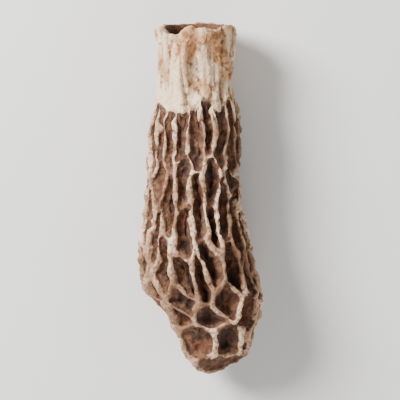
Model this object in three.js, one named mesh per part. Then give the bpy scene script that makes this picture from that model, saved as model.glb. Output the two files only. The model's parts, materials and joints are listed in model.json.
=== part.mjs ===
// A dried morel mushroom, cut off at the stem and lying on its side.
// It grew as one hollow body, so it is one mesh: the cap with its raised net of ribs, the stem,
// and the hollow that runs from the open cut end up into the cap.
// Millimetres, Z up. The tip points toward minus Y and the cut end toward plus Y.

import * as THREE from 'three';
import { ConvexHull } from 'three/addons/math/ConvexHull.js';
import { SimplexNoise } from 'three/addons/math/SimplexNoise.js';

// Whole body
const totalLength = 38;
const seed = 44;

// Shrunken cap, measured over the tops of the ribs
const capEnd = 29.6;
// distance from tip, half width right, half width left, half height, centre x, centre z
const capStations = [
  [0.0, 0.0, 0.0, 0.0, 0.9, 4.7],
  [0.35, 1.8, 1.8, 1.5, 0.95, 4.75],
  [1.1, 2.85, 2.75, 2.45, 1.1, 4.85],
  [2.3, 3.6, 3.5, 3.25, 1.2, 5.0],
  [3.7, 4.1, 4.1, 3.95, 1.2, 5.1],
  [5.2, 4.55, 4.5, 4.5, 1.2, 5.2],
  [7.0, 5.35, 4.9, 5.2, 1.0, 5.35],
  [9.2, 6.1, 6.6, 5.65, 0.4, 5.5],
  [11.6, 5.8, 6.6, 5.8, 0.0, 5.6],
  [14.5, 5.45, 6.1, 5.75, -0.5, 5.55],
  [17.5, 5.1, 5.6, 5.4, -0.6, 5.25],
  [20.5, 4.95, 5.2, 5.15, -0.6, 5.0],
  [24.0, 4.85, 5.0, 5.0, -0.6, 4.95],
  [27.5, 4.75, 4.9, 4.85, -0.6, 5.0],
  [capEnd, 4.3, 4.35, 4.35, -0.6, 5.15],
];
const marginWave = { height: 1.3, waves: 1.1, from: 20, to: 33.5 };
const dent = { depth: 0.28, size: 6.5 };
const spineStart = { share: 0.55, rise: 3 };
// the outline keeps its form near the tip and near the margin
const firmTip = { from: 0.5, to: 5 };
const firmMargin = { from: 27.5, to: capEnd };

// Net of ribs
const ribHalf = 0.3;
const webHalf = 0.36;
const widestRim = 0.6;
const rimSpread = { least: 0.9, more: 0.35 };
const wallSlope = 0.24;
const deepestFoot = 0.84;
const ribRounding = 0.12;
const ripple = { size: 0.36, length: 4.2, waves: 1.9, slide: 0.126 };
const crossWall = { sag: 0.55, from: 0.6, to: 0.95 };
const ribLift = 0.12;
const ribBumps = { height: 0.14, waves: 1.7 };
const marginDrop = 0.1;
const longPits = { stretch: 3, from: 8, to: 14 };
const netSpacing = 0.62;
const shortestRib = 0.5;
const shortestSide = 0.12;
// distance from tip, depth of the pits
const pitDepths = [[0, 1.3], [4, 1.65], [8, 1.8], [15, 1.7], [20, 1.25], [27, 0.95], [capEnd, 0.8]];
const depthSpread = 0.1;
const floorWaves = 0.12;
const belly = { depth: 0.62, from: 0.35, to: 0.95 };

// Pits on the upper side, as the photo shows them
// degrees round from the right edge, distance from tip, half width of the rim
const seenPits = [
  [142, 15.2, ribHalf], [123, 18.2, ribHalf], [104, 15.6, ribHalf], [86, 18.4, ribHalf],
  [70, 16.6, ribHalf], [51, 18.0, ribHalf], [32, 15.0, ribHalf],
  [133, 11.5, ribHalf], [150, 9.2, 0.7], [138, 6.9, 0.6], [119, 8.6, webHalf],
  [106, 11.4, ribHalf], [90, 11.0, ribHalf], [76, 12.4, ribHalf], [93, 6.9, 0.42],
  [68, 8.8, ribHalf], [49, 12.0, ribHalf], [40, 7.6, ribHalf],
  [113, 3.9, ribHalf], [64, 3.7, webHalf], [24, 4.2, webHalf], [60, 0.9, 0.4],
];

// Rows of pits round the rest of the cap
// from and to in degrees, pitch in degrees, distance from tip, its spread, half width of the rim,
// share of the pits that a cross wall cuts in two
const pitRows = [
  { from: 161, to: 374, pitch: 18, distance: 16.4, spread: 3.2, rim: ribHalf, cut: 0 },
  { from: 0, to: 342, pitch: 18, distance: 24.2, spread: 1.6, rim: ribHalf, cut: 0.42 },
  { from: 168, to: 384, pitch: 23, distance: 10.9, spread: 1.1, rim: ribHalf, cut: 0 },
  { from: 158, to: 378, pitch: 27, distance: 7.6, spread: 0.9, rim: ribHalf, cut: 0 },
  { from: 170, to: 368, pitch: 38, distance: 4.5, spread: 0.7, rim: webHalf, cut: 0 },
  { from: 195, to: 310, pitch: 57, distance: 2.1, spread: 0.4, rim: webHalf, cut: 0 },
];
const turnSpread = 0.3;
const cutApart = { distance: 2.6, degrees: 3.6 };
const lastRow = 20;
const farStops = { count: 12, reach: 3 };

// Cut stem
const stemCentre = { x: -0.6, z: 5.15 };
const stemRadius = 4.04;
const stemRings = [
  { at: 30.0, radius: 3.98 },
  { at: 30.8, radius: 3.92 },
  { at: 31.9, radius: 3.92 },
  { at: 33.2, radius: 3.92 },
  { at: 34.6, radius: 3.97 },
  { at: 35.9, radius: 4.04 },
  { at: 37.0, radius: 4.16 },
];
const stemFold = { depth: 0.36, waves: 2.9, length: 9 };
const stemSwell = { height: 0.42, length: 11, from: 30, to: 33 };
const stemOval = 0.08;
const leastStemWall = 0.66;
const stemPoints = 48;
const cutEdge = { depth: 0.6, waves: 1.7, recess: 0.12 };

// Hollow
const boreRadius = 2.95;
const leastWall = 0.78;
const mouthFlare = 0.14;
const hollowPoints = 28;
const hollowRings = [
  { at: 36.7, radius: 3.08 },
  { at: 34.0, radius: boreRadius },
  { at: 30.0, radius: boreRadius },
  { at: 25.5, radius: boreRadius },
  { at: 21.0, radius: boreRadius },
  { at: 17.0, radius: 3.05 },
  { at: 13.6, radius: 3.0 },
  { at: 11.6, radius: 2.6 },
  { at: 10.3, radius: 1.6 },
];
const hollowEnd = 9.8;

function makeRandom(start) {
  let state = start;
  return () => {
    state = (state + 0x6d2b79f5) | 0;
    let mixed = Math.imul(state ^ (state >>> 15), 1 | state);
    mixed = (mixed + Math.imul(mixed ^ (mixed >>> 7), 61 | mixed)) ^ mixed;
    return ((mixed ^ (mixed >>> 14)) >>> 0) / 4294967296;
  };
}

const random = makeRandom(seed);
const noise = new SimplexNoise({ random });

// Each kind of unevenness reads the noise at a place of its own
const layer = { margin: 20, slide: 9, dent: 3, lift: 5, bumps: 8, floor: 2, swell: 6, cut: 50 };

// Noise that closes on itself round the body
function roundNoise(angle, waves, at) {
  return noise.noise3d(waves * Math.cos(angle), waves * Math.sin(angle), at);
}

function smooth(from, to, value) {
  return THREE.MathUtils.smoothstep(value, from, to);
}

function readTable(table, at) {
  const next = table.findIndex((row) => row[0] > at);
  if (next < 0) return table[table.length - 1][1];
  if (next === 0) return table[0][1];
  const [before, after] = [table[next - 1], table[next]];
  return before[1] + ((after[1] - before[1]) * (at - before[0])) / (after[0] - before[0]);
}

// A row of the cap's stations at any place between them, with a round tip
function capRow(place) {
  const last = capStations.length - 1;
  const index = Math.min(Math.floor(place), last - 1);
  const part = place - index;
  const [b, c] = [capStations[index], capStations[index + 1]];
  const mirror = capStations[1].map((value, k) => (k > 0 && k < 4 ? -value : value));
  const a = index > 0 ? capStations[index - 1] : mirror;
  const e = index + 2 <= last ? capStations[index + 2] : c.map((value, k) => 2 * value - b[k]);
  return b.map((value, k) => value
    + 0.5 * part * (c[k] - a[k]
    + part * (2 * a[k] - 5 * value + 4 * c[k] - e[k]
    + part * (3 * (value - c[k]) + e[k] - a[k]))));
}

// The cap unrolled on a plane, tip at the origin: pits that are round there come out
// round near the tip and long on the upper cap
function unrollCap() {
  const steps = 1400;
  const { stretch: most, from, to } = longPits;
  const last = capStations.length - 1;
  const table = [];
  let [length, log] = [0, 0];
  let before = { distance: 0, radius: 0 };
  for (let k = 1; k <= steps; k += 1) {
    const place = (k / steps) * last;
    const [distance, right, left, high] = capRow(place);
    const radius = (right + left + 2 * high) / 4;
    const step = Math.hypot(distance - before.distance, radius - before.radius);
    const stretch = 1 + (most - 1) * smooth(from, to, distance);
    length += step;
    log = k === 1 ? Math.log(length) : log + step / (stretch * 0.5 * (radius + before.radius));
    table.push({ place, distance, radius, stretch, reach: Math.exp(log) });
    before = { distance, radius };
  }
  return table;
}

const unrolled = unrollCap();
const marginReach = unrolled[unrolled.length - 1].reach;

function lookUp(key, value) {
  let [low, high] = [0, unrolled.length - 1];
  if (value <= unrolled[0][key]) {
    const share = value / unrolled[0][key];
    return { ...unrolled[0], place: unrolled[0].place * share, reach: unrolled[0].reach * share };
  }
  while (high - low > 1) {
    const middle = (low + high) >> 1;
    if (unrolled[middle][key] < value) low = middle;
    else high = middle;
  }
  const [a, b] = [unrolled[low], unrolled[high]];
  const share = Math.min((value - a[key]) / (b[key] - a[key]), 1);
  return {
    place: a.place + (b.place - a.place) * share,
    distance: a.distance + (b.distance - a.distance) * share,
    reach: a.reach + (b.reach - a.reach) * share,
    radius: a.radius,
    stretch: a.stretch,
  };
}

// The margin of the cap wanders up and down the stem
function marginShift(angle) {
  return marginWave.height * roundNoise(angle, marginWave.waves, layer.margin);
}

// A point on the cap's outer form, raised or sunk toward the middle of the body
function capPoint(flat, height) {
  const reach = Math.min(flat.length(), marginReach);
  const { place, distance } = lookUp('reach', reach);
  const plain = Math.atan2(flat.y, flat.x);
  const loose = smooth(firmTip.from, firmTip.to, distance)
    * (1 - smooth(firmMargin.from, firmMargin.to, distance));
  const along = distance / ripple.length;
  const sideways = roundNoise(plain, ripple.waves, along) * ripple.size * loose;
  const slide = roundNoise(plain, ripple.waves, along + layer.slide) * ripple.slide * loose;
  const last = capStations.length - 1;
  const row = capRow(THREE.MathUtils.clamp(place + slide, 0, last));
  const [at, right, left, high, centreX, centreZ] = row;
  const angle = plain + sideways / Math.max(right, 1);
  const side = smooth(0, 1, (1 - Math.cos(angle)) / 2);
  const wide = right + (left - right) * side;
  const point = new THREE.Vector3(
    centreX + wide * Math.cos(angle),
    at - totalLength / 2 + marginShift(plain) * smooth(marginWave.from, capEnd, at),
    centreZ + high * Math.sin(angle),
  );
  const spineAt = Math.max(at, spineStart.share * at + spineStart.rise);
  const spine = new THREE.Vector3(centreX, spineAt - totalLength / 2, centreZ);
  const out = point.clone().sub(spine).normalize();
  const [x, y, z] = point.clone().divideScalar(dent.size).toArray();
  const sunk = noise.noise3d(x, y, z + layer.dent) * dent.depth * loose;
  return clearOfHollow(point.addScaledVector(out, height + sunk));
}

// No pit comes nearer to the hollow than the least wall
function clearOfHollow(point) {
  const distance = point.y + totalLength / 2;
  if (distance < hollowEnd - leastWall) return point;
  const rows = hollowRings.map((ring) => [ring.at, ring.radius]).reverse();
  const least = readTable(rows, distance + leastWall) + leastWall;
  const [x, z] = [point.x - stemCentre.x, point.z - stemCentre.z];
  const grow = Math.max(1, least / Math.hypot(x, z));
  return point.set(stemCentre.x + x * grow, point.y, stemCentre.z + z * grow);
}

function pitDepth(flat) {
  const { distance } = lookUp('reach', Math.min(flat.length(), marginReach));
  const under = smooth(belly.from, belly.to, -flat.y / flat.length());
  return readTable(pitDepths, distance) * (1 - (1 - belly.depth) * under);
}

function onPlane(degrees, reach) {
  const angle = THREE.MathUtils.degToRad(degrees);
  return new THREE.Vector2(Math.cos(angle), Math.sin(angle)).multiplyScalar(reach);
}

// One row of pits, each moved a little off its even place, some of them cut in two
function scatterRow({ from, to, pitch, distance, spread, rim, cut }) {
  const count = Math.round((to - from) / pitch);
  const row = [];
  for (let k = 0; k <= count; k += 1) {
    const stagger = (k % 2 ? 0.5 : -0.5) * spread;
    const degrees = from + ((to - from) * k) / count + (random() - 0.5) * turnSpread * pitch;
    const away = distance + stagger + (random() - 0.5) * spread;
    const own = rim * (rimSpread.least + rimSpread.more * random());
    if (random() < cut) {
      row.push([degrees, away - cutApart.distance, own]);
      row.push([degrees + cutApart.degrees, away + cutApart.distance, own]);
    } else {
      row.push([degrees, away, own]);
    }
  }
  return row;
}

// One centre for each pit, and a ring of stand-ins past the margin that closes the last ones
function placePits() {
  const pits = [...seenPits, ...pitRows.flatMap(scatterRow)].map(([degrees, distance, rim]) => (
    { degrees, distance, rim, at: onPlane(degrees, lookUp('distance', distance).reach) }));
  const stops = pits.filter((pit) => pit.distance > lastRow).map((pit) => {
    const reach = 2 * marginReach - pit.at.length();
    return { at: onPlane(pit.degrees, reach), stop: true };
  });
  for (let k = 0; k < farStops.count; k += 1) {
    const degrees = (360 * k) / farStops.count;
    stops.push({ at: onPlane(degrees, farStops.reach * marginReach), stop: true });
  }
  return [...pits, ...stops];
}

function centreOfCircle(a, b, c) {
  const [p, q] = [b.clone().sub(a), c.clone().sub(a)];
  const twice = 2 * p.cross(q);
  const [pp, qq] = [p.lengthSq(), q.lengthSq()];
  return new THREE.Vector2((q.y * pp - p.y * qq) / twice, (p.x * qq - q.x * pp) / twice).add(a);
}

// The ribs run midway between neighbouring pit centres and meet where three of them are level
function ribJunctions(pits) {
  const lifted = pits.map(({ at }) => new THREE.Vector3(at.x, at.y, at.lengthSq() / marginReach));
  const index = new Map(lifted.map((point, k) => [point, k]));
  const junctions = [];
  for (const face of new ConvexHull().setFromPoints(lifted).faces) {
    if (face.normal.z >= 0) continue;
    const around = [];
    let edge = face.edge;
    do {
      around.push(index.get(edge.head().point));
      edge = edge.next;
    } while (edge !== face.edge);
    const at = centreOfCircle(...around.slice(0, 3).map((k) => pits[k].at));
    junctions.push({ at, around });
  }
  return junctions;
}

// Junctions that nearly touch become one, and those on the margin move onto it
function tidyJunctions(junctions, pits) {
  const kept = [];
  for (const { at, around } of junctions) {
    if (around.every((k) => pits[k].stop)) continue;
    const onMargin = around.some((k) => pits[k].stop);
    if (onMargin) at.setLength(marginReach);
    const solid = capPoint(at, 0);
    const near = kept.find((other) => other.onMargin === onMargin
      && other.solid.distanceTo(solid) < shortestRib);
    if (near) around.forEach((k) => near.around.add(k));
    else kept.push({ at, onMargin, solid, around: new Set(around) });
  }
  return kept;
}

const points = [];
const faces = [];

function addPoint(point) {
  const settled = point.clone();
  settled.z = Math.max(settled.z, 0);
  points.push(settled);
  return points.length - 1;
}

function addFace(a, b, c) {
  if (a !== b && b !== c && c !== a) faces.push([a, b, c]);
}

// A band of triangles between two closed loops that run the same way round,
// with the least total length of edges across it
function stitch(inner, outer) {
  const nearest = outer.reduce((best, one, k) => (
    one.at.distanceTo(inner[0].at) < outer[best].at.distanceTo(inner[0].at) ? k : best), 0);
  const one = (k) => inner[k % inner.length];
  const other = (k) => outer[(k + nearest) % outer.length];
  const cost = [];
  for (let i = 0; i <= inner.length; i += 1) {
    cost.push([]);
    for (let j = 0; j <= outer.length; j += 1) {
      const before = Math.min(i ? cost[i - 1][j] : Infinity, j ? cost[i][j - 1] : Infinity);
      cost[i].push(one(i).at.distanceTo(other(j).at) + (i + j ? before : 0));
    }
  }
  let [i, j] = [inner.length, outer.length];
  while (i + j > 0) {
    if (j === 0 || (i > 0 && cost[i - 1][j] < cost[i][j - 1])) {
      addFace(one(i - 1).id, other(j).id, one(i).id);
      i -= 1;
    } else {
      addFace(one(i).id, other(j - 1).id, other(j).id);
      j -= 1;
    }
  }
}

// The part of a convex outline that lies further than a given distance inside all its sides
function shrink(outline, by) {
  let kept = outline;
  outline.forEach((from, k) => {
    const side = outline[(k + 1) % outline.length].clone().sub(from).normalize();
    const depth = (p) => side.cross(p.clone().sub(from)) - by;
    const next = [];
    kept.forEach((p, m) => {
      const q = kept[(m + 1) % kept.length];
      const [dp, dq] = [depth(p), depth(q)];
      if (dp >= 0) next.push(p);
      if (dp * dq < 0) next.push(p.clone().lerp(q, dp / (dp - dq)));
    });
    kept = next;
  });
  return kept;
}

function subdivide(outline, spacing) {
  const loop = [];
  outline.forEach((from, k) => {
    const to = outline[(k + 1) % outline.length];
    const length = from.distanceTo(to);
    if (length < shortestSide) return;
    const count = Math.max(1, Math.round(length / spacing));
    for (let m = 0; m < count; m += 1) loop.push(from.clone().lerp(to, m / count));
  });
  return loop.length > 2 ? loop : outline;
}

// The line of points along one rib, made once and used by the pits on both sides of it
function makeRibs() {
  const ribs = new Map();
  const corners = new Map();
  const corner = (junction) => {
    if (!corners.has(junction)) {
      const lift = ribLift * noise.noise3d(junction.at.x, junction.at.y, layer.lift);
      const height = junction.onMargin ? -marginDrop : lift;
      const id = addPoint(capPoint(junction.at, height));
      corners.set(junction, { flat: junction.at, height, id });
    }
    return corners.get(junction);
  };
  return (from, to, order) => {
    const [first, last] = order.indexOf(from) < order.indexOf(to) ? [from, to] : [to, from];
    const key = `${order.indexOf(first)} ${order.indexOf(last)}`;
    if (!ribs.has(key)) {
      const [a, b] = [corner(first), corner(last)];
      const span = last.solid.clone().sub(first.solid);
      const across = Math.hypot(span.x, span.z) / span.length();
      const onMargin = first.onMargin && last.onMargin;
      const sag = onMargin ? 0 : crossWall.sag * smooth(crossWall.from, crossWall.to, across);
      const count = Math.max(1, Math.round(span.length() / netSpacing));
      const line = [a];
      for (let k = 1; k < count; k += 1) {
        const share = k / count;
        const flat = a.flat.clone().lerp(b.flat, share);
        if (onMargin) flat.setLength(marginReach);
        const [x, y] = [flat.x * ribBumps.waves, flat.y * ribBumps.waves];
        const bumps = onMargin ? 0 : ribBumps.height * noise.noise3d(x, y, layer.bumps);
        const height = a.height + (b.height - a.height) * share
          - sag * Math.sin(Math.PI * share) + bumps;
        line.push({ flat, height, id: addPoint(capPoint(flat, height)) });
      }
      line.push(b);
      ribs.set(key, line);
    }
    const line = ribs.get(key);
    return first === from ? line.slice(0, -1) : [...line].reverse().slice(0, -1);
  };
}

// One pit: rounded rib top, steep wall and sunken floor
function makePit(pit, rim) {
  const away = pit.at.clone().normalize();
  const round = new THREE.Vector2(-away.y, away.x);
  const { radius, stretch } = lookUp('reach', pit.at.length());
  const scale = radius / pit.at.length();
  const toChart = (flat) => {
    const offset = flat.clone().sub(pit.at);
    return new THREE.Vector2(offset.dot(away) * scale * stretch, offset.dot(round) * scale);
  };
  const toFlat = (chart) => pit.at.clone()
    .addScaledVector(away, chart.x / (scale * stretch))
    .addScaledVector(round, chart.y / scale);
  const top = rim.map((one) => ({ ...one, at: toChart(one.flat) }));
  const outline = top.filter((one) => one.corner).map((one) => one.at);
  const middle = new THREE.Vector2();
  const room = Math.min(...outline.map((from, k) => {
    const side = outline[(k + 1) % outline.length].clone().sub(from).normalize();
    return side.cross(middle.clone().sub(from));
  }));
  const ribEdge = Math.min(pit.rim, widestRim * room);
  const foot = Math.min(ribEdge + wallSlope, deepestFoot * room);
  const depth = pitDepth(pit.at) * (1 + depthSpread * (2 * random() - 1));
  const ring = (inset, rise) => subdivide(shrink(outline, inset), netSpacing).map((at) => {
    const flat = toFlat(at);
    const near = top.reduce((best, one) => (
      one.at.distanceTo(at) < best.at.distanceTo(at) ? one : best));
    return { at, id: addPoint(capPoint(flat, rise(near.height, flat))) };
  });
  const edge = ring(ribEdge, (height) => height - ribRounding);
  const wallFoot = ring(foot, (height, flat) => (
    -depth * (1 - floorWaves * (1 - noise.noise3d(flat.x, flat.y, layer.floor)))));
  const floor = addPoint(capPoint(toFlat(middle), -depth));
  stitch(edge, top);
  stitch(wallFoot, edge);
  wallFoot.forEach((one, k) => addFace(floor, one.id, wallFoot[(k + 1) % wallFoot.length].id));
}

// The whole net, and the loop of points round the margin of the cap
function makeCap() {
  const pits = placePits();
  const junctions = tidyJunctions(ribJunctions(pits), pits);
  const rib = makeRibs();
  const margin = new Map();
  pits.forEach((pit, index) => {
    if (pit.stop) return;
    const corners = junctions.filter((junction) => junction.around.has(index));
    const turn = (junction) => {
      const offset = junction.at.clone().sub(pit.at);
      return Math.atan2(offset.y, offset.x);
    };
    corners.sort((a, b) => turn(a) - turn(b));
    const rim = corners.flatMap((from, k) => {
      const to = corners[(k + 1) % corners.length];
      const line = rib(from, to, junctions);
      if (from.onMargin && to.onMargin) line.forEach((one) => margin.set(one.id, one));
      return line.map((one, m) => ({ ...one, corner: m === 0 }));
    });
    corners.filter((one) => one.onMargin).forEach((one) => {
      const same = rim.find((other) => other.flat === one.at);
      margin.set(same.id, same);
    });
    makePit(pit, rim);
  });
  return [...margin.values()]
    .map(({ id }) => ({ id, at: points[id] }))
    .sort((a, b) => turnOf(a.at) - turnOf(b.at));
}

function turnOf(point) {
  return Math.atan2(point.z - stemCentre.z, point.x - stemCentre.x);
}

function ringAt(count, shape) {
  return Array.from({ length: count }, (_, k) => {
    const angle = -Math.PI + (2 * Math.PI * k) / count;
    const { at, radius } = shape(angle);
    const point = new THREE.Vector3(
      stemCentre.x + radius * Math.cos(angle),
      at - totalLength / 2,
      stemCentre.z + radius * Math.sin(angle),
    );
    const id = addPoint(point);
    return { id, at: points[id] };
  });
}

// Radius of the stem with fine folds along it and the slow swelling of one side or another
function stemRadiusAt(angle, at, radius) {
  const fold = stemFold.depth * roundNoise(angle, stemFold.waves, at / stemFold.length);
  const bulge = Math.max(0, roundNoise(angle, 1, at / stemSwell.length + layer.swell));
  const swell = stemSwell.height * bulge * smooth(stemSwell.from, stemSwell.to, at);
  const wrinkled = radius + stemOval * Math.cos(2 * angle) + fold + swell;
  return Math.max(wrinkled, boreRadius + leastStemWall);
}

// The upper stem follows the wandering margin of the cap, less and less toward the cut end
function withMargin(angle, at) {
  return at + marginShift(angle) * (1 - smooth(capEnd, marginWave.to, at));
}

// How far the cut edge is drawn back, from nothing to its depth
function cutBack(angle) {
  return cutEdge.depth * (0.5 + 0.5 * roundNoise(angle, cutEdge.waves, layer.cut));
}

// Wrinkled stem from the groove under the cap to the cut end
function makeStem(margin) {
  let before = margin;
  for (const { at, radius } of stemRings) {
    const ring = ringAt(stemPoints, (angle) => ({
      at: withMargin(angle, at),
      radius: stemRadiusAt(angle, at, radius),
    }));
    stitch(before, ring);
    before = ring;
  }
  const lip = ringAt(stemPoints, (angle) => ({
    at: totalLength - cutBack(angle),
    radius: stemRadiusAt(angle, totalLength, stemRadius),
  }));
  stitch(before, lip);
  return lip;
}

// Smooth hollow from the cut end to its blind end in the cap
function makeHollow(lip) {
  let before = lip;
  const mouth = ringAt(hollowPoints, (angle) => ({
    at: totalLength - cutBack(angle) - cutEdge.recess,
    radius: boreRadius + mouthFlare,
  }));
  stitch(before, mouth);
  before = mouth;
  for (const { at, radius } of hollowRings) {
    const ring = ringAt(hollowPoints, () => ({ at, radius }));
    stitch(before, ring);
    before = ring;
  }
  const end = addPoint(new THREE.Vector3(stemCentre.x, hollowEnd - totalLength / 2, stemCentre.z));
  before.forEach((one, k) => addFace(one.id, end, before[(k + 1) % before.length].id));
}

function makeMorel() {
  const margin = makeCap();
  const lip = makeStem(margin);
  makeHollow(lip);
  const geometry = new THREE.BufferGeometry();
  const flatPoints = points.flatMap((point) => point.toArray());
  geometry.setAttribute('position', new THREE.Float32BufferAttribute(flatPoints, 3));
  geometry.setIndex(faces.flat());
  geometry.computeBoundingBox();
  const middle = geometry.boundingBox.getCenter(new THREE.Vector3());
  geometry.translate(-middle.x, -middle.y, 0);
  geometry.computeVertexNormals();
  const flesh = new THREE.MeshStandardMaterial({ color: 0x9c7557, roughness: 0.9, metalness: 0 });
  const mesh = new THREE.Mesh(geometry, flesh);
  mesh.name = 'morel';
  return mesh;
}

const group = new THREE.Group();
group.name = 'dried_morel';
group.add(makeMorel());

export default group;
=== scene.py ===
import json
import math

import bpy
import bmesh
from mathutils import Matrix, Vector


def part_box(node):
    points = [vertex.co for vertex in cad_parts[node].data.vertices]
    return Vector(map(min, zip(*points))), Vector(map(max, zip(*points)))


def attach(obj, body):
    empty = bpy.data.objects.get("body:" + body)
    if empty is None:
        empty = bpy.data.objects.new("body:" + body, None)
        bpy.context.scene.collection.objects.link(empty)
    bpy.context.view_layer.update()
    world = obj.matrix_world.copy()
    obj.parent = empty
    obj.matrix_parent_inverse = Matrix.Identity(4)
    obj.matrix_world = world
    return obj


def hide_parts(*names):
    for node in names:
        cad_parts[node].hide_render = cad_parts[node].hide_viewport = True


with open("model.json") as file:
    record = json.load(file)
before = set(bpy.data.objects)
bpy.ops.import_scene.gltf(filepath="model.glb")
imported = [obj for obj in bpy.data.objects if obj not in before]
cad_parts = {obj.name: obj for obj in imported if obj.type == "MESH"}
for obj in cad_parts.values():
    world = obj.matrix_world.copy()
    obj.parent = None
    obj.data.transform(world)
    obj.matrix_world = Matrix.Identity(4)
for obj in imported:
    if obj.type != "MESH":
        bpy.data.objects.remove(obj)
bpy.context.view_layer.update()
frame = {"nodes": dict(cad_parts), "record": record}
cad = frame["nodes"]["morel"]
bore = frame["record"]["physics"]["openings"][0]["box_m"]  # stated opening down the stem
mm = 0.001
print("frame loaded")


class Wire:  # one socket of a node tree, so that maths on it reads as an expression
    def __init__(self, web, socket):
        self.web, self.socket = web, socket

    def math(self, operation, *others):
        return self.web.add("ShaderNodeMath", [self, *others], operation=operation)

    def vector(self, operation, *others, out=0):
        return self.web.add("ShaderNodeVectorMath", [self, *others], out, operation=operation)

    def __add__(self, other):
        return self.math("ADD", other)

    def __sub__(self, other):
        return self.math("SUBTRACT", other)

    def __mul__(self, other):
        return self.math("MULTIPLY", other)

    def __radd__(self, other):
        return self.web.value(other).math("ADD", self)

    def __rsub__(self, other):
        return self.web.value(other).math("SUBTRACT", self)

    def __rmul__(self, other):
        return self.web.value(other).math("MULTIPLY", self)

    def ramp(self, low, high, most=1.0):  # 0 below low, most above high, smooth between
        ends = {"From Min": low, "From Max": high, "To Max": most}
        return self.web.add("ShaderNodeMapRange", {"Value": self, **ends},
                            interpolation_type="SMOOTHSTEP")

    def centred(self):  # a noise about zero
        return self - 0.5

    def part(self, axis):
        return self.web.add("ShaderNodeSeparateXYZ", [self], "XYZ".index(axis))

    def drawn(self, share):  # a place whose patterns are drawn out along the body
        return self.vector("MULTIPLY", (1.0, share, 1.0))


class Web:  # a node tree that is filled by calls
    def __init__(self, tree):
        self.tree = tree

    def add(self, kind, inputs=(), out=0, **settings):
        node = self.tree.nodes.new(kind)
        for name, setting in settings.items():
            setattr(node, name, setting)
        pairs = inputs.items() if isinstance(inputs, dict) else enumerate(inputs)
        for name, given in pairs:
            if isinstance(given, Wire):
                self.join(given, node.inputs[name])
            else:
                node.inputs[name].default_value = given
        return Wire(self, node.outputs[out])

    def join(self, wire, socket):
        self.tree.links.new(wire.socket, socket)

    def value(self, number):
        wire = self.add("ShaderNodeValue")
        wire.socket.default_value = number
        return wire

    def mixed(self, share, first, second):  # of two colours
        return self.add("ShaderNodeMix", {0: share, 6: first, 7: second}, 2, data_type="RGBA")

    def scaled(self, vector, factor):
        return self.add("ShaderNodeVectorMath", {0: vector, "Scale": factor}, operation="SCALE")

    def noise(self, place, scale, detail, out=0):
        inputs = {"Vector": place, "Scale": scale, "Detail": detail}
        return self.add("ShaderNodeTexNoise", inputs, out)


def tone(red, green, blue):  # screen colour, 0 to 255, to a linear one
    shares = [c / 255 for c in (red, green, blue)]
    return (*[c / 12.92 if c <= 0.04045 else ((c + 0.055) / 1.055) ** 2.4 for c in shares], 1.0)


# the dried flesh

fleshLook = {
    # pale tan of the rib tops, with painted highlight added to it
    "crestPale": tone(230, 194, 164),
    "crestTan": tone(186, 148, 118),
    "crestBrown": tone(124, 88, 64),
    "ribTan": tone(150, 112, 86),
    "ribBrown": tone(98, 66, 48),
    "wallBrown": tone(88, 59, 44),
    "wallTan": tone(120, 84, 60),
    # dark brown of the pit flesh, with painted shade of the deep pits added to it
    "pitDark": tone(62, 43, 34),
    "pitRed": tone(104, 62, 41),
    "stemCream": tone(232, 203, 168),
    "stemTan": tone(198, 148, 102),
    "stemBrown": tone(128, 80, 52),
    # painted shade: the inside of the hollow gets a brown darker than the flesh's own whitish
    # tan
    "hollowTan": tone(108, 68, 46),
    "roughness": 0.84,
    "specular": 0.3,
    "bumpStrength": 1.0,
    "bumpDistance": 0.45 * mm,
    "grainTurn": (0.5, 0.7, 0.9),  # keeps the grain's own grid off the body's axes
    "grain": {"speck": 0.45, "fleck": 0.35, "fine": 0.2},
    "alongFold": 0.14,  # below 1 draws the pattern out along the stem
    "alongStreak": 0.15,
    "blotchInSpot": 0.5,
    "heightWander": {"speck": 0.36 * mm, "blotch": 0.3 * mm},
    "ridgeWander": {"speck": 0.17 * mm, "blotch": 0.1 * mm},
    "marginLift": 0.16 * mm,  # makes ribs pale where they end on the stem
    "noise": {  # cells a metre, and octaves
        "patch": (130, 2),
        "blotch": (300, 3),
        "speck": (1700, 4),
        "fleck": (2600, 3),
        "fine": (5200, 3),
        "streak": (900, 3),
        "fold": (560, 2),
    },
    "bands": {  # from where to where one tone turns into the next, and how much at most
        "pitRed": (0.46, 0.6),
        "wallTan": (0.44, 0.6),
        "wallDark": (0.56, 0.66, 0.5),
        "ribBrown": (0.44, 0.58),
        "crestTan": (0.42, 0.56),
        "crestPatch": (0.5, 0.62, 0.8),
        "crestFleck": (0.53, 0.6, 0.8),
        "crestCream": (-3.5 * mm, 0.5 * mm, 0.75),
        "marginRib": (0.0, 0.2 * mm),
        "marginNear": (-1.6 * mm, 0.0),
        # tones follow height: pits darker and crests paler, partly the flesh's own colour,
        # partly painted shade in the pits and painted highlight on the crest tops
        "pitToWall": (-0.85 * mm, -0.2 * mm),
        "wallToRib": (0.02 * mm, 0.32 * mm),
        "ribToCrest": (0.08 * mm, 0.18 * mm),
        "stemTan": (0.42, 0.6),
        "stemStreak": (0.5, 0.66, 0.6),
        # where the stem is painted darker along its furrows, as painted shade in the grooves
        "stemCrease": (0.0, 0.07),
        "creaseSpeck": (0.4, 0.55, 0.75),
        "stemSpot": (0.8, 0.9, 0.7),
        "stemStart": (-0.25 * mm, 0.1 * mm),
        "hollowDark": (0.4, 0.62, 0.6),
    },
}


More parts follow.
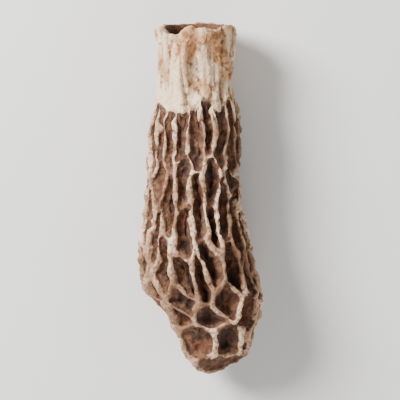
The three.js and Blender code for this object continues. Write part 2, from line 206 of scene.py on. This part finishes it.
def makeFlesh(look):
    material = bpy.data.materials.new("driedFlesh")
    material.use_nodes = True
    web = Web(material.node_tree)
    shader = material.node_tree.nodes["Principled BSDF"]
    place = web.add("ShaderNodeTexCoord", out="Object")
    turned = web.add("ShaderNodeMapping", {"Vector": place, "Rotation": look["grainTurn"]})
    attribute = lambda name: web.add("ShaderNodeAttribute", out="Fac", attribute_name=name)
    noise = lambda name, at=turned: web.noise(at, *look["noise"][name])
    band = lambda wire, name: wire.ramp(*look["bands"][name])
    relief, crest, past, inside = map(attribute, ("relief", "crest", "past", "inside"))
    patch, blotch, speck = map(noise, ("patch", "blotch", "speck"))
    fleck, fine = map(noise, ("fleck", "fine"))

    wander = look["heightWander"]
    height = relief + speck.centred() * wander["speck"] + blotch.centred() * wander["blotch"]
    wander = look["ridgeWander"]
    ridge = crest + speck.centred() * wander["speck"] + blotch.centred() * wander["blotch"]
    ridge += band(relief, "marginRib") * band(past, "marginNear") * look["marginLift"]

    pitTone = web.mixed(band(blotch, "pitRed"), look["pitDark"], look["pitRed"])
    wallTone = web.mixed(band(speck, "wallTan"), look["wallBrown"], look["wallTan"])
    wallTone = web.mixed(band(fleck, "wallDark"), wallTone, look["pitDark"])
    ribTone = web.mixed(band(blotch, "ribBrown"), look["ribTan"], look["ribBrown"])
    crestTone = web.mixed(band(blotch, "crestTan"), look["crestPale"], look["crestTan"])
    crestTone = web.mixed(band(patch, "crestPatch"), crestTone, look["crestBrown"])
    crestTone = web.mixed(band(fleck, "crestFleck"), crestTone, look["crestBrown"])
    crestTone = web.mixed(band(past, "crestCream"), crestTone, look["stemCream"])
    # darker the deeper a point lies and paler on the crest tops: the dried flesh's own dark
    # pits and pale ribs, with painted shade in the pits and painted highlight on the crests
    capTone = web.mixed(band(height, "pitToWall"), pitTone, wallTone)
    capTone = web.mixed(band(height, "wallToRib"), capTone, ribTone)
    # the crest tone, partly painted highlight, goes on the tops of the ribs
    capTone = web.mixed(band(ridge, "ribToCrest"), capTone, crestTone)

    streak = noise("streak", place.drawn(look["alongStreak"]))
    fold = noise("fold", place.drawn(look["alongFold"]))
    # painted shade: the stem turns brown along the same furrows that the skin cuts into it,
    # broken up by specks
    creaseShade = 1.0 - band(fold.centred().math("ABSOLUTE"), "stemCrease")
    creaseShade = creaseShade * band(speck, "creaseSpeck")
    spot = band(speck + blotch * look["blotchInSpot"], "stemSpot")
    stemTone = web.mixed(band(blotch, "stemTan"), look["stemCream"], look["stemTan"])
    for mask in (band(streak, "stemStreak"), creaseShade, spot):
        stemTone = web.mixed(mask, stemTone, look["stemBrown"])
    skinTone = web.mixed(band(past, "stemStart"), capTone, stemTone)
    # the inside of the hollow, painted darker as shade, flecked with the dark pit tone
    hollowTone = web.mixed(band(speck, "hollowDark"), look["hollowTan"], look["pitDark"])
    web.join(web.mixed(inside, skinTone, hollowTone), shader.inputs["Base Color"])

    share = look["grain"]
    grain = speck * share["speck"] + fleck * share["fleck"] + fine * share["fine"]
    bump = web.add("ShaderNodeBump", {"Height": grain, "Strength": look["bumpStrength"],
                                      "Distance": look["bumpDistance"]})
    web.join(bump, shader.inputs["Normal"])
    shader.inputs["Roughness"].default_value = look["roughness"]
    shader.inputs["Specular IOR Level"].default_value = look["specular"]
    return material


# the skin: the CAD form made finer, with worn ribs, wrinkled pits and a furrowed stem

skinShape = {
    "sizes": {  # the inputs of the node tree
        "Levels": 2,
        "Rib wear": 0.4 * mm,
        "Rib sway": 0.6 * mm,
        "Rib notch": 0.5 * mm,
        "Rib undercut": 0.17 * mm,
        "Pit wrinkle": 0.24 * mm,
        "Stem furrow": 0.7 * mm,
        "Stem scurf": 0.14 * mm,
        "Torn edge": 0.9 * mm,
        "Grain": 0.18 * mm,
        "Hollow radius": 3.35 * mm,
        "Hollow x": (bore[0][0] + bore[1][0]) / 2,
        "Hollow z": (bore[0][2] + bore[1][2]) / 2,
        "Hollow end": -9.6 * mm,
    },
    "mergeWithin": 0.0005 * mm,
    "foldWithin": math.radians(28),  # two triangles make one face if they fold less
    "skewWithin": math.radians(50),
    "reliefReach": 9,  # steps of blur that the pits stand out against
    "crestReach": 2,
    "wrinkleScale": 850.0,
    "alongWrinkle": 0.45,
    "alongFold": 0.14,
    "margin": {  # the ring where the cap ends on the stem
        "nearest": 9.2 * mm,
        "furthest": 12.0 * mm,
        "leastRadius": 4.18 * mm,
        "greatestRadius": 4.27 * mm,
        "neighbours": 5,
    },
    "noise": {  # cells a metre, and octaves
        "wear": (900, 3),
        "notch": (560, 1),
        "sway": (620, 3.5),
        "fold": (560, 2),
        "foldDepth": (200, 1),
        "scurf": (1500, 4),
        "grain": (2200, 4),
        "tear": (300, 3),
    },
    "bands": {  # nothing below the first, all of it above the second
        "stem": (-0.25 * mm, 0.1 * mm),
        "rib": (0.15 * mm, 0.45 * mm),
        "pit": (-0.45 * mm, -0.1 * mm),
        "wallCrest": (0.1 * mm, 0.2 * mm),
        "wallRelief": (-0.6 * mm, -0.1 * mm),
        "notch": (0.58, 0.8),
        "wrinkle": (0.0, 0.16),
        "fold": (0.0, 0.12),
        "scurf": (0.5, 0.7),
        "tear": (0.3, 0.75),
        "mouth": (15.5 * mm, 18.6 * mm),
    },
}


def makeTree(name, numbers):
    tree = bpy.data.node_groups.new(name, "GeometryNodeTree")
    face = tree.interface
    face.new_socket("Geometry", in_out="INPUT", socket_type="NodeSocketGeometry")
    for label, number in numbers.items():
        kind = "NodeSocketInt" if isinstance(number, int) else "NodeSocketFloat"
        face.new_socket(label, in_out="INPUT", socket_type=kind)
    face.new_socket("Material", in_out="INPUT", socket_type="NodeSocketMaterial")
    face.new_socket("Geometry", in_out="OUTPUT", socket_type="NodeSocketGeometry")
    web = Web(tree)
    source = tree.nodes.new("NodeGroupInput")
    inputs = {socket.name: Wire(web, socket) for socket in source.outputs if socket.name}
    return web, inputs


def finishTree(web, shape, material):
    whole = web.add("GeometryNodeRealizeInstances", [shape])
    done = web.add("GeometryNodeSetMaterial", {"Geometry": whole, "Material": material})
    end = web.tree.nodes.new("NodeGroupOutput")
    web.join(done, end.inputs["Geometry"])


def grow(source, name, tree, values):  # a plain mesh from a mesh and a tree
    modifier = source.modifiers.new(name, "NODES")
    modifier.node_group = tree
    for item in tree.interface.items_tree:
        if item.in_out == "INPUT" and item.name in values:
            modifier[item.identifier] = values[item.name]
    bpy.context.view_layer.update()
    evaluated = source.evaluated_get(bpy.context.evaluated_depsgraph_get())
    mesh = bpy.data.meshes.new_from_object(evaluated)
    mesh.name = name
    made = bpy.data.objects.new(name, mesh)
    bpy.context.collection.objects.link(made)
    bpy.data.objects.remove(source)
    return made


def roundHollow(place):  # share of a turn round the hollow's middle line, and distance from it
    sizes = skinShape["sizes"]
    across, up = place.x - sizes["Hollow x"], place.z - sizes["Hollow z"]
    return math.atan2(up, across) / math.tau, math.hypot(across, up)


def marginRing(form, margin):  # turn and place along the stem of the points on the margin
    ring = []
    for vertex in form.verts:
        turn, radius = roundHollow(vertex.co)
        if (margin["nearest"] < vertex.co.y < margin["furthest"]
                and margin["leastRadius"] < radius < margin["greatestRadius"]):
            ring.append((turn, vertex.co.y))
    return ring


def marginAt(turn, ring, neighbours):  # the middle one of the nearest few
    apart = lambda point: abs((point[0] - turn + 0.5) % 1.0 - 0.5)
    near = sorted(ring, key=apart)[:neighbours]
    return sorted(point[1] for point in near)[len(near) // 2]


def copyOfCad(look):  # merged, with four-sided faces where two triangles make one
    form = bmesh.new()
    form.from_mesh(cad.data)
    bmesh.ops.remove_doubles(form, verts=form.verts, dist=look["mergeWithin"])
    bmesh.ops.join_triangles(form, faces=form.faces, angle_face_threshold=look["foldWithin"],
                             angle_shape_threshold=look["skewWithin"])
    ring = marginRing(form, look["margin"])
    past = form.verts.layers.float.new("past")  # how far a point is past the margin
    for vertex in form.verts:
        turn = roundHollow(vertex.co)[0]
        vertex[past] = vertex.co.y - marginAt(turn, ring, look["margin"]["neighbours"])
    mesh = bpy.data.meshes.new("coarseMorel")
    form.to_mesh(mesh)
    form.free()
    mesh.shade_smooth()
    source = bpy.data.objects.new("coarseMorel", mesh)
    bpy.context.collection.objects.link(source)
    return source


def skinTree(look):
    web, given = makeTree("morelSkin", look["sizes"])
    position = web.add("GeometryNodeInputPosition")
    normal = web.add("GeometryNodeInputNormal")
    noise = lambda name, at=position, out=0: web.noise(at, *look["noise"][name], out)
    band = lambda wire, name: wire.ramp(*look["bands"][name])

    def above(reach):  # how far the surface stands out of its surroundings
        blurred = web.add("GeometryNodeBlurAttribute", {"Value": position, "Iterations": reach},
                          data_type="FLOAT_VECTOR")
        return position.vector("SUBTRACT", blurred).vector("DOT_PRODUCT", normal, out="Value")

    relief, crest = above(look["reliefReach"]), above(look["crestReach"])
    axis = web.add("ShaderNodeCombineXYZ", [given["Hollow x"], 0.0, given["Hollow z"]])
    across = position.vector("SUBTRACT", axis).drawn(0.0)
    radius = across.vector("LENGTH", out="Value")
    facing = across.vector("DOT_PRODUCT", normal, out="Value").math("LESS_THAN", 0.0)
    near = radius.math("LESS_THAN", given["Hollow radius"])
    within = position.part("Y").math("GREATER_THAN", given["Hollow end"])
    inside = near * within * facing

    shape = given["Geometry"]
    for label, wire in {"relief": relief, "crest": crest, "inside": inside}.items():
        shape = web.add("GeometryNodeStoreNamedAttribute",
                        {"Geometry": shape, "Name": label, "Value": wire}, data_type="FLOAT")
    shape = web.add("GeometryNodeSubdivisionSurface", {"Mesh": shape, "Level": given["Levels"]})

    read = lambda label: web.add("GeometryNodeInputNamedAttribute", {"Name": label},
                                 data_type="FLOAT")
    relief, crest, inside = read("relief"), read("crest"), read("inside")
    stem = band(read("past"), "stem") * (1.0 - inside)
    outside = (1.0 - inside) * (1.0 - stem)
    rib = band(relief, "rib") * outside
    pit = (1.0 - band(relief, "pit")) * outside
    wall = (1.0 - band(crest, "wallCrest")) * band(relief, "wallRelief") * outside

    wear = noise("wear").centred() * given["Rib wear"] * rib
    notch = band(noise("notch"), "notch") * given["Rib notch"] * rib
    undercut = wall * given["Rib undercut"]
    cells = web.add("ShaderNodeTexVoronoi", {"Vector": position.drawn(look["alongWrinkle"]),
                                             "Scale": look["wrinkleScale"]},
                    feature="DISTANCE_TO_EDGE")
    wrinkle = (1.0 - band(cells, "wrinkle")) * given["Pit wrinkle"] * pit
    fold = noise("fold", position.drawn(look["alongFold"])).centred()
    furrow = band(fold.math("ABSOLUTE"), "fold") - 1.0
    furrow = furrow * given["Stem furrow"] * stem * noise("foldDepth")
    scurf = band(noise("scurf"), "scurf") * given["Stem scurf"] * stem
    grain = noise("grain").centred() * given["Grain"]
    rise = wear - notch - undercut + wrinkle + furrow + scurf + grain
    sway = noise("sway", out="Color").vector("SUBTRACT", (0.5, 0.5, 0.5))
    sway = web.scaled(sway, given["Rib sway"] * rib)
    tear = band(noise("tear"), "tear") * given["Torn edge"]
    tear = tear * band(position.part("Y"), "mouth")
    back = web.add("ShaderNodeCombineXYZ", [0.0, 0.0 - tear, 0.0])

    moved = web.scaled(normal, rise).vector("ADD", sway).vector("ADD", back)
    shape = web.add("GeometryNodeSetPosition", {"Geometry": shape, "Offset": moved})
    lifted = position.vector("MAXIMUM", (-1.0, -1.0, 0.0))  # nothing below the table
    shape = web.add("GeometryNodeSetPosition", {"Geometry": shape, "Position": lifted})
    finishTree(web, shape, given["Material"])
    return web.tree


flesh = makeFlesh(fleshLook)
inputs = {**skinShape["sizes"], "Material": flesh}
morelSkin = grow(copyOfCad(skinShape), "morelSkin", skinTree(skinShape), inputs)
morelSkin.data.shade_smooth()
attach(morelSkin, "root")
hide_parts("morel")
print("skin made,", len(morelSkin.data.polygons), "faces")


# floor, light and camera

studio = {
    "floorTone": (0.8, 0.79, 0.77, 1.0),
    "floorRoughness": 0.9,
    "floorSize": 1.2,
    "lights": {  # place, size and power
        "keyLight": ((-0.15, 0.11, 0.14), 0.11, 1.6),
        "fillLight": ((0.2, -0.05, 0.12), 0.2, 0.2),
        "rimLight": ((0.02, -0.2, 0.1), 0.12, 0.25),
    },
    "lightAim": (0, 0, 0.006),
    "skyTone": (1.0, 0.98, 0.96, 1.0),
    "skyPower": 0.28,
    "viewHeight": 0.3,
    "viewTilt": 7.0,  # degrees past straight down, toward the stem
    "viewWidth": 42 * mm,
    "viewNearest": 0.01,
}

bpy.ops.mesh.primitive_plane_add(size=studio["floorSize"])
floor = bpy.context.object
floor.name = "floor"
paint = bpy.data.materials.new("floorPaint")
paint.use_nodes = True
coat = paint.node_tree.nodes["Principled BSDF"].inputs
coat["Base Color"].default_value = studio["floorTone"]
coat["Roughness"].default_value = studio["floorRoughness"]
floor.data.materials.append(paint)


def areaLight(name, place, size, power):
    light = bpy.data.lights.new(name, "AREA")
    light.shape, light.size, light.energy = "DISK", size, power
    lamp = bpy.data.objects.new(name, light)
    lamp.location = place
    aim = Vector(studio["lightAim"]) - Vector(place)
    lamp.rotation_euler = aim.to_track_quat("-Z", "Y").to_euler()
    bpy.context.collection.objects.link(lamp)


for name, light in studio["lights"].items():
    areaLight(name, *light)

world = bpy.data.worlds.new("studioSky")
world.use_nodes = True
sky = world.node_tree.nodes["Background"].inputs
sky["Color"].default_value = studio["skyTone"]
sky["Strength"].default_value = studio["skyPower"]
bpy.context.scene.world = world

low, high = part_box("morel")
middle = (low + high) / 2
tilt = math.radians(studio["viewTilt"])
away = Vector((0, math.sin(tilt), math.cos(tilt)))
camera = bpy.data.objects.new("camera", bpy.data.cameras.new("camera"))
upward = Vector((0, math.cos(tilt), -math.sin(tilt)))
turn = Matrix((upward.cross(away), upward, away)).transposed().to_4x4()
camera.matrix_world = Matrix.Translation(middle + away * studio["viewHeight"]) @ turn
camera.data.angle = 2 * math.atan(studio["viewWidth"] / 2 / studio["viewHeight"])
camera.data.clip_start = studio["viewNearest"]
bpy.context.collection.objects.link(camera)
bpy.context.scene.camera = camera
print("stage set")
